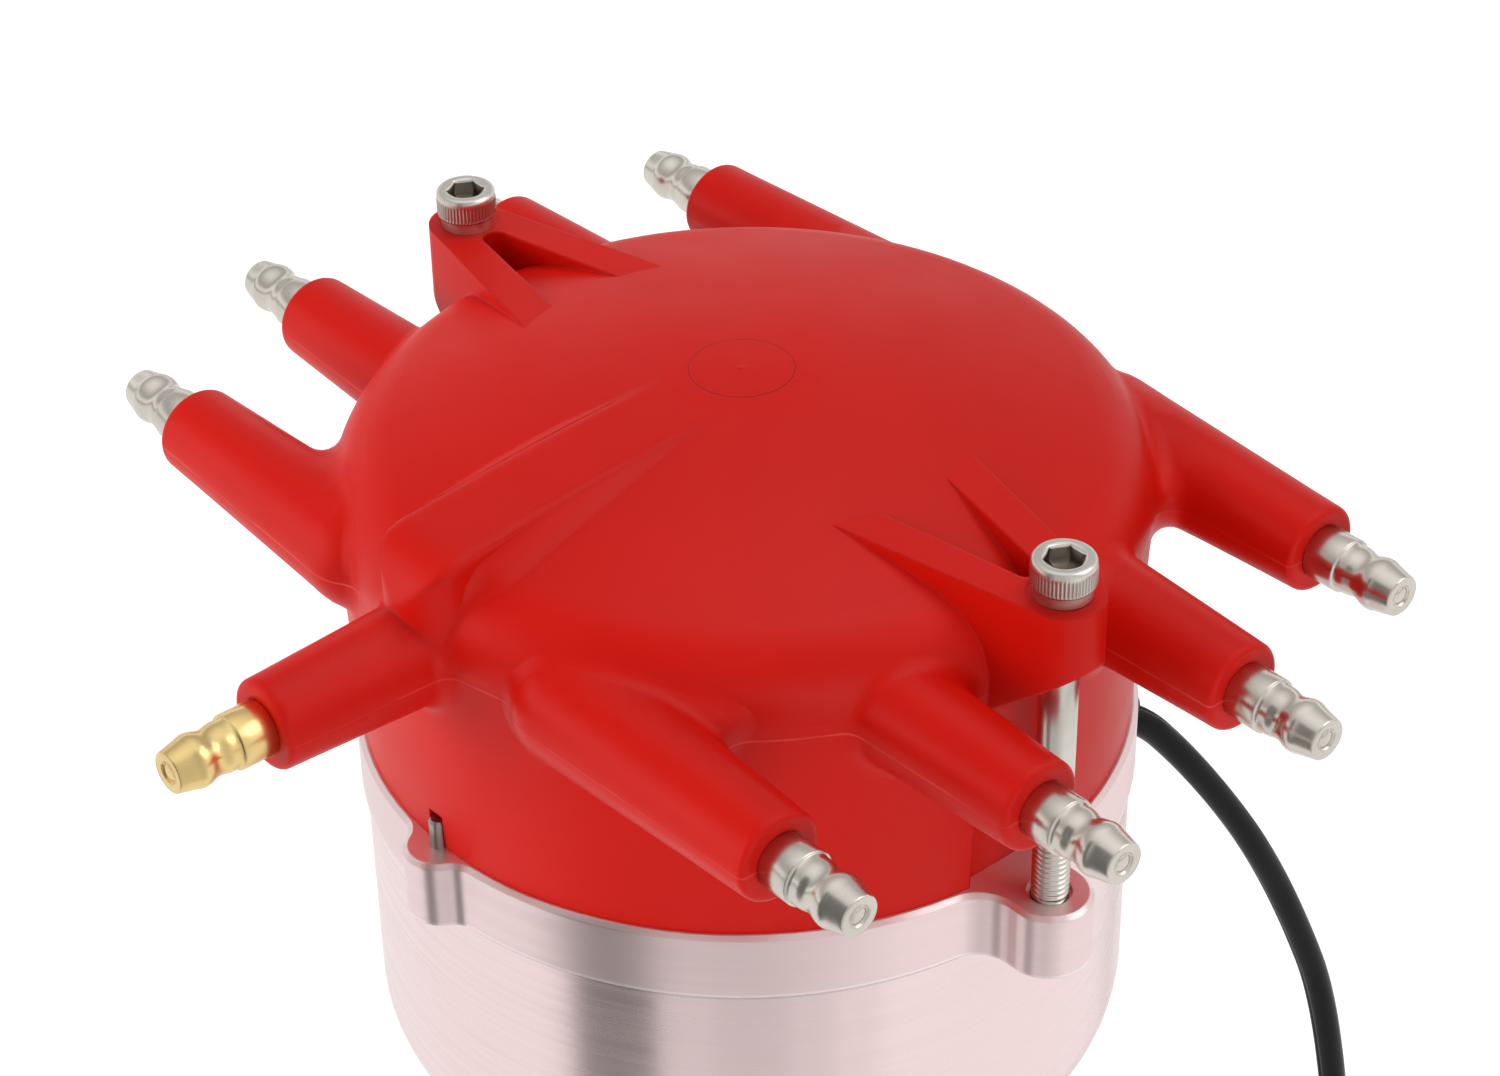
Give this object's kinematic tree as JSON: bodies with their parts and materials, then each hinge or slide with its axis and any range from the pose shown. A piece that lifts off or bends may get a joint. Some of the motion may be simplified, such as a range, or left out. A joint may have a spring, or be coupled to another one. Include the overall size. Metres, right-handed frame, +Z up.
{
  "type": "ignition distributor",
  "caption": "Low-profile ignition distributor: red cap with horizontal plug towers on a machined bowl, shaft, gear, advance, rotor, pickup and lead inside.",
  "frame": {"origin": "shaft axis at the underside of the clamp collar, where the part sits on the engine", "axes": "+Z up along the shaft to the cap, +X along one bank of plug towers, -Y along the coil tower"},
  "size_m": [0.167, 0.1921, 0.258],
  "materials": {
    "cap_moulding": "moulded thermoset, satin red",
    "stainless": "turned, fine rings",
    "brass": "turned or pressed, slightly dulled",
    "contact_aluminium": "turned",
    "spring_steel": "drawn wire",
    "carbon": "pressed carbon, dull",
    "socket_screw_steel": "bright zinc, knurled head",
    "ground_steel": "ground",
    "machined_aluminium": "bare, machined, fine turning lines",
    "nitrile": "smooth",
    "bearing_steel": "ground rings, rubber seals",
    "bronze": "sintered, oiled",
    "gear_steel": "hobbed, oiled",
    "plated_steel": "zinc plated",
    "sintered_steel": "sintered, dull",
    "reluctor_steel": "machined",
    "black_moulding": "glass-filled nylon, matte",
    "grommet_rubber": "soft, matte",
    "cable_jacket": "flexible vinyl jacket, two cores",
    "rotor_moulding": "moulded, satin red"
  },
  "bodies": {
    "distributor": {"cap": "cap_moulding", "plug_terminals": "stainless", "coil_terminal": "brass", "electrode_posts": "contact_aluminium", "conductor_strips": "brass", "coil_conductor": "brass", "brush_spring": "spring_steel", "cap_screws": "socket_screw_steel", "lock_washers": "socket_screw_steel", "locating_pin": "ground_steel", "housing": "machined_aluminium", "o_rings": "nitrile", "upper_bearing": "bearing_steel", "lower_bushing": "bronze", "thrust_washers": "spring_steel", "pickup_bracket": "plated_steel", "pickup_coil": "black_moulding", "pole_piece": "reluctor_steel", "pickup_screws": "plated_steel", "grommet": "grommet_rubber", "pickup_cable": "cable_jacket", "plug_shell": "black_moulding", "plug_pins": "brass"},
    "brush": {"carbon_brush": "carbon"},
    "shaft": {"main_shaft": "ground_steel", "drive_gear": "gear_steel", "gear_pin": "spring_steel", "centre_cam": "ground_steel", "cam_screw": "socket_screw_steel"},
    "advance": {"advance_plate": "plated_steel", "plate_pins": "ground_steel", "spring_a": "spring_steel", "spring_b": "spring_steel", "reluctor": "reluctor_steel", "standoffs": "plated_steel", "rotor_body": "rotor_moulding", "rotor_blade": "brass", "rotor_contact": "brass", "rotor_screws": "plated_steel"},
    "weight_left": {"weight_b": "sintered_steel"},
    "weight_right": {"weight_a": "sintered_steel"}
  },
  "joints": [
    {"name": "shaft_spin", "type": "hinge", "parent": "distributor", "child": "shaft", "pos_m": [0, 0, 0], "axis": [0, 0, -1], "continuous": true},
    {"name": "advance_turn", "type": "hinge", "parent": "shaft", "child": "advance", "pos_m": [0, 0, 0.07], "axis": [0, 0, -1], "range_deg": [0, 12], "stiffness_Nm_per_rad": 0.5},
    {"name": "weight_right_swing", "type": "hinge", "parent": "advance", "child": "weight_right", "pos_m": [0.023, 0, 0.078], "axis": [0, 0, -1], "range_deg": [0, 15.5]},
    {"name": "weight_left_swing", "type": "hinge", "parent": "advance", "child": "weight_left", "pos_m": [-0.023, 0, 0.078], "axis": [0, 0, -1], "range_deg": [0, 15.5]},
    {"name": "brush_slide", "type": "slide", "parent": "distributor", "child": "brush", "axis": [0, 0, 1], "range_m": [0, 0.0015], "stiffness_N_per_m": 60, "springref_m": -0.002, "deforming": ["brush_spring"]}
  ],
  "couplings": [
    {"joint": "weight_right_swing", "follows": "advance_turn", "ratio": 1.25},
    {"joint": "weight_left_swing", "follows": "advance_turn", "ratio": 1.25}
  ]
}
